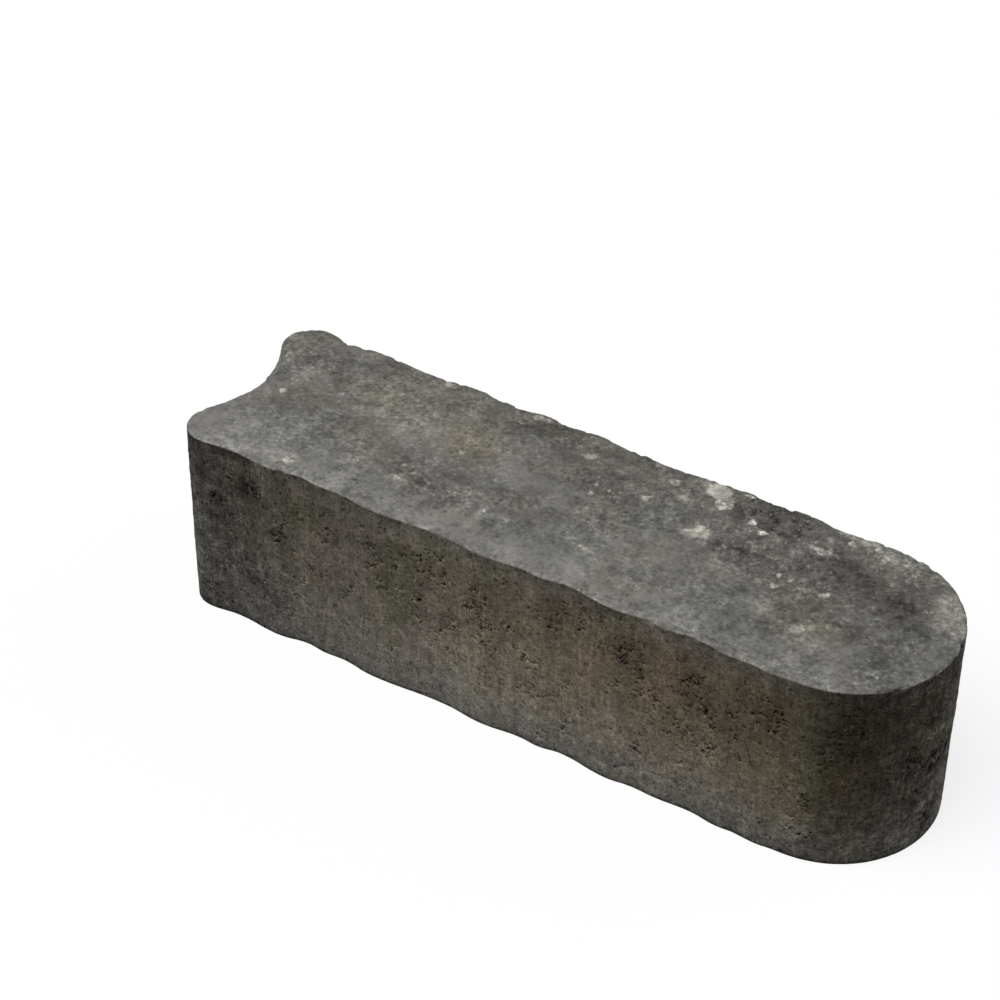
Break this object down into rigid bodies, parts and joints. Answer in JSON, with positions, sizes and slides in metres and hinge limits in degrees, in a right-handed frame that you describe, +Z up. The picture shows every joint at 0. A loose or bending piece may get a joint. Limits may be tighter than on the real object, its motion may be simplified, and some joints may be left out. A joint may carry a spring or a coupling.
{
  "type": "scalloped lawn edging stone",
  "caption": "Long concrete lawn edging block with shallow uneven scalloped sides, a rounded nose at one end and a matching hollow at the other, so that stones nest in straight or curved rows.",
  "frame": {"origin": "middle of the underside's bounding box, on the bed that the stone lies on", "axes": "+X along the stone from its hollow to its nose, +Y towards the back scalloped side, +Z up to the walking face"},
  "size_m": [0.5, 0.14, 0.135],
  "materials": {
    "concrete": "matte"
  },
  "bodies": {
    "root": {"edging_stone": "concrete"}
  },
  "joints": []
}
